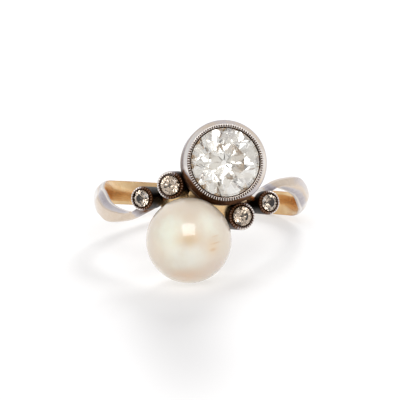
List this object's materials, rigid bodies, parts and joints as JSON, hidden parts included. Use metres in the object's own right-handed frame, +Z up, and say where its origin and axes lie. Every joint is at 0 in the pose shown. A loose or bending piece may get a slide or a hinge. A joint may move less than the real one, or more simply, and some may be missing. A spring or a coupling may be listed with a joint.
{
  "type": "pearl and diamond crossover ring",
  "caption": "Finger ring with an S-shaped gold hoop, a large pearl and a large old-cut diamond set diagonally across the head, and small collet-set diamonds on the shoulders.",
  "frame": {"origin": "on the table that the ring lies on, under the middle of its box", "axes": "+Z up from the table, -Y towards the head with the pearl and the main diamond, +X to the right of one who looks at the head with the diamond uppermost; the hoop's own axis leans back and to the side because the pearl props the head up"},
  "size_m": [0.0192, 0.0269, 0.0133],
  "materials": {
    "gold_and_silver": "polished",
    "pearl": "gloss",
    "diamond": "gloss"
  },
  "bodies": {
    "root": {"ring_mount": "gold_and_silver", "pearl": "pearl", "main_diamond": "diamond", "left_outer_diamond": "diamond", "left_inner_diamond": "diamond", "right_inner_diamond": "diamond", "right_outer_diamond": "diamond"}
  },
  "joints": []
}
